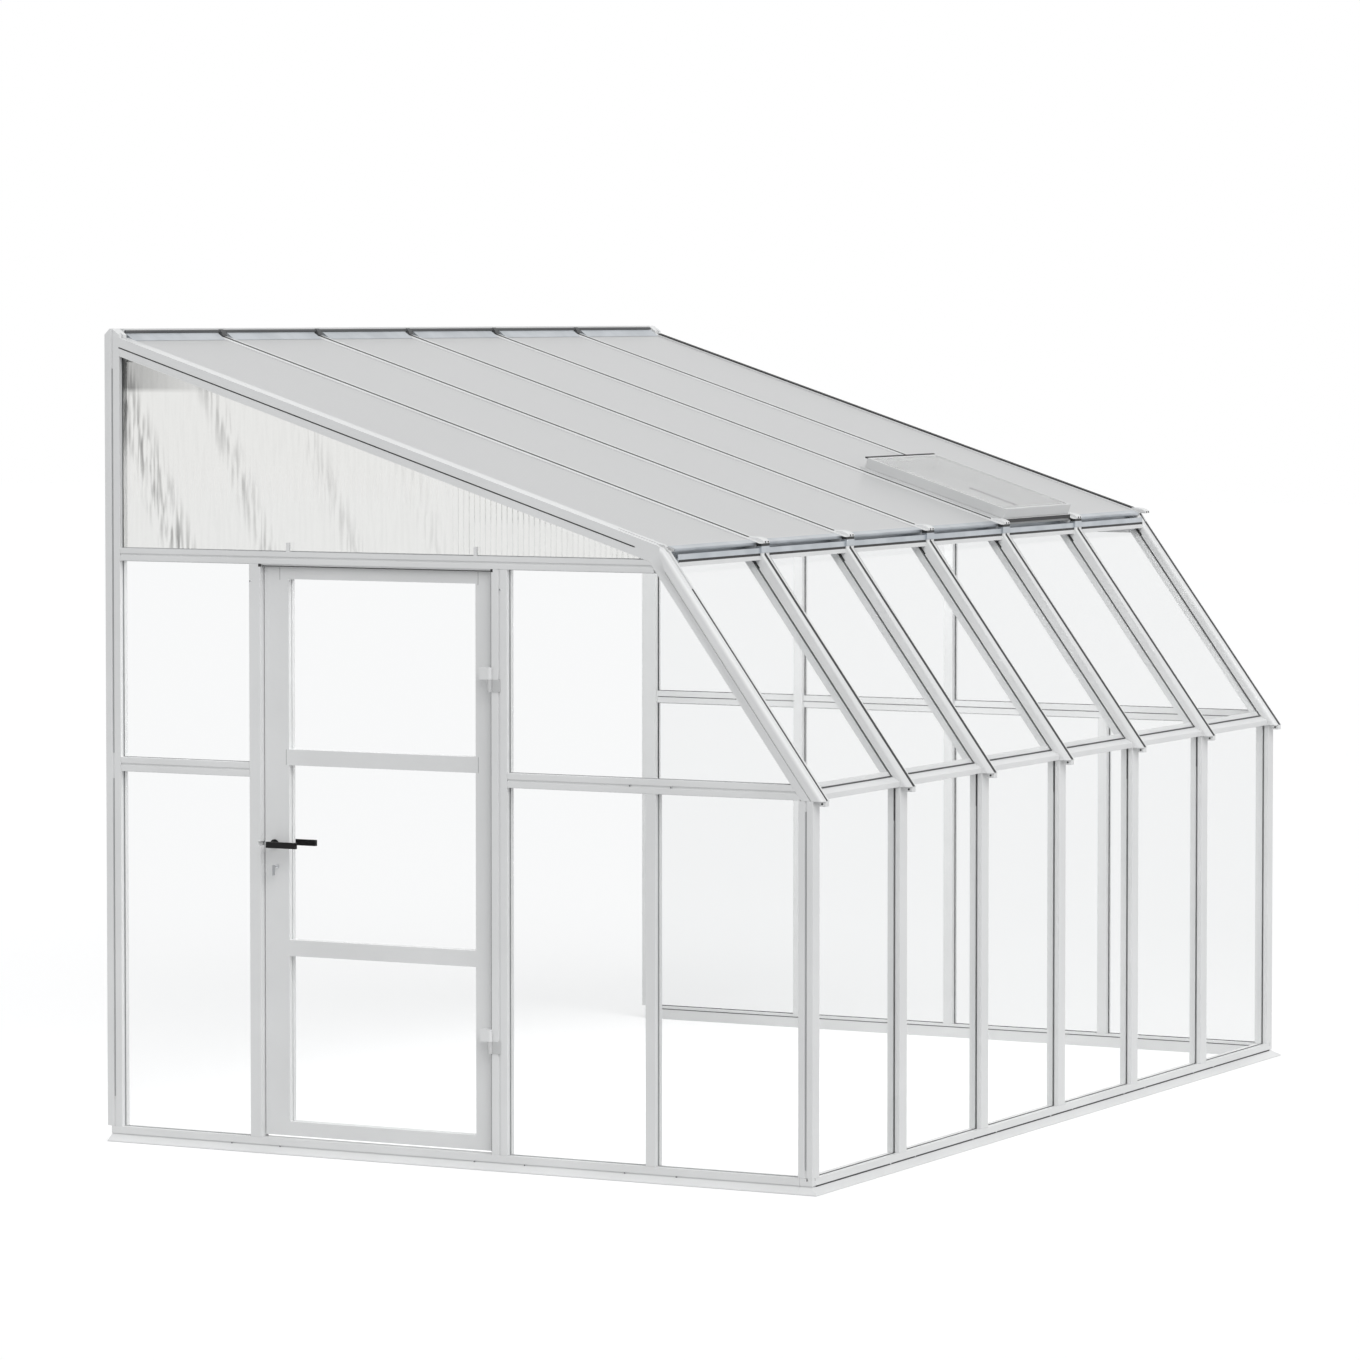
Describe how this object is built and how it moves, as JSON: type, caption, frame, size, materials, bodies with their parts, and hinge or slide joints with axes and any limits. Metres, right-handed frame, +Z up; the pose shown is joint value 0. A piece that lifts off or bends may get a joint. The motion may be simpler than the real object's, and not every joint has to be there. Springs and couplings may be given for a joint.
{
  "type": "lean-to greenhouse",
  "caption": "Lean-to greenhouse in white bar framing with twin-wall roof, clear panes, a lockable gable door and a roof vent.",
  "frame": {"origin": "on the ground, at the middle of the building's box in plan", "axes": "+X along the house wall, from the gable with the door to the other gable; +Y from the garden side towards the house wall; +Z up"},
  "size_m": [3.914, 2.666, 2.713],
  "materials": {
    "frame_white": "satin powder coat",
    "roof_twin_wall": "translucent twin-wall sheet",
    "gable_fluted": "fluted translucent sheet",
    "clear_glazing": "clear polished",
    "gutter_metal": "satin mill finish",
    "black_fittings": "fine matt",
    "steel_fittings": "brushed"
  },
  "bodies": {
    "frame": {"base_rail_front": "frame_white", "base_rail_near": "frame_white", "base_rail_far": "frame_white", "wall_post_near": "frame_white", "wall_post_far": "frame_white", "wall_rail": "frame_white", "corner_post_near": "frame_white", "corner_post_far": "frame_white", "front_post_1": "frame_white", "front_post_2": "frame_white", "front_post_3": "frame_white", "front_post_4": "frame_white", "front_post_5": "frame_white", "knee_rail": "frame_white", "eave_gutter": "gutter_metal", "rafter_1": "frame_white", "rafter_2": "frame_white", "rafter_3": "frame_white", "rafter_4": "frame_white", "rafter_5": "frame_white", "rafter_6": "frame_white", "rafter_7": "frame_white", "door_jamb_lock": "frame_white", "door_jamb_hinge": "frame_white", "gable_post_near": "frame_white", "transom_near": "frame_white", "mid_rail_side": "frame_white", "mid_rail_corner": "frame_white", "mid_rail_far": "frame_white", "far_post_1": "frame_white", "far_post_2": "frame_white", "far_post_3": "frame_white", "transom_far": "frame_white", "side_glazing": "clear_glazing", "corner_glazing": "clear_glazing", "gable_panel_near": "gable_fluted", "far_glazing": "clear_glazing", "gable_panel_far": "gable_fluted", "front_glazing": "clear_glazing", "slope_glazing": "clear_glazing", "roof_panel_1": "roof_twin_wall", "roof_panel_2": "roof_twin_wall", "roof_panel_3": "roof_twin_wall", "roof_panel_4": "roof_twin_wall", "roof_panel_5": "roof_twin_wall", "roof_panel_6": "roof_twin_wall", "vent_curb": "frame_white", "hinge_upper": "frame_white", "hinge_lower": "frame_white"},
    "door": {"door_frame": "frame_white", "door_glazing": "clear_glazing", "lock_case": "steel_fittings"},
    "lever": {"lever_handles": "black_fittings"},
    "latch": {"latch_bolt": "steel_fittings"},
    "key": {"key_cylinder": "steel_fittings"},
    "bolt": {"dead_bolt": "steel_fittings"},
    "vent": {"vent_sash": "frame_white", "vent_panel": "roof_twin_wall", "vent_handle": "black_fittings"},
    "stay": {"vent_stay": "black_fittings"}
  },
  "joints": [
    {"name": "door_swing", "type": "hinge", "parent": "frame", "child": "door", "pos_m": [-1.939, -0.13899, 1], "axis": [0, 0, 1], "range_deg": [0, 100]},
    {"name": "lever_turn", "type": "hinge", "parent": "door", "child": "lever", "pos_m": [-1.887, 0.68951, 1.02], "axis": [1, 0, 0], "range_deg": [0, 40], "stiffness_Nm_per_rad": 0.6},
    {"name": "latch_slide", "type": "slide", "parent": "door", "child": "latch", "axis": [0, -1, 0], "range_m": [0, 0.01]},
    {"name": "key_turn", "type": "hinge", "parent": "door", "child": "key", "pos_m": [-1.887, 0.68051, 0.946], "axis": [1, 0, 0], "range_deg": [0, 90]},
    {"name": "bolt_slide", "type": "slide", "parent": "door", "child": "bolt", "axis": [0, 1, 0], "range_m": [0, 0.014]},
    {"name": "vent_swing", "type": "hinge", "parent": "frame", "child": "vent", "pos_m": [0.951, -0.22276, 2.20842], "axis": [-1, 0, 0], "range_deg": [0, 25]},
    {"name": "stay_swing", "type": "hinge", "parent": "vent", "child": "stay", "pos_m": [0.944, -0.73405, 2.05335], "axis": [-1, 0, 0], "range_deg": [0, 65]}
  ],
  "couplings": [
    {"joint": "latch_slide", "follows": "lever_turn", "m_per_rad": 0.01432},
    {"joint": "bolt_slide", "follows": "key_turn", "m_per_rad": 0.00891},
    {"joint": "stay_swing", "follows": "vent_swing", "ratio": 2.6}
  ]
}
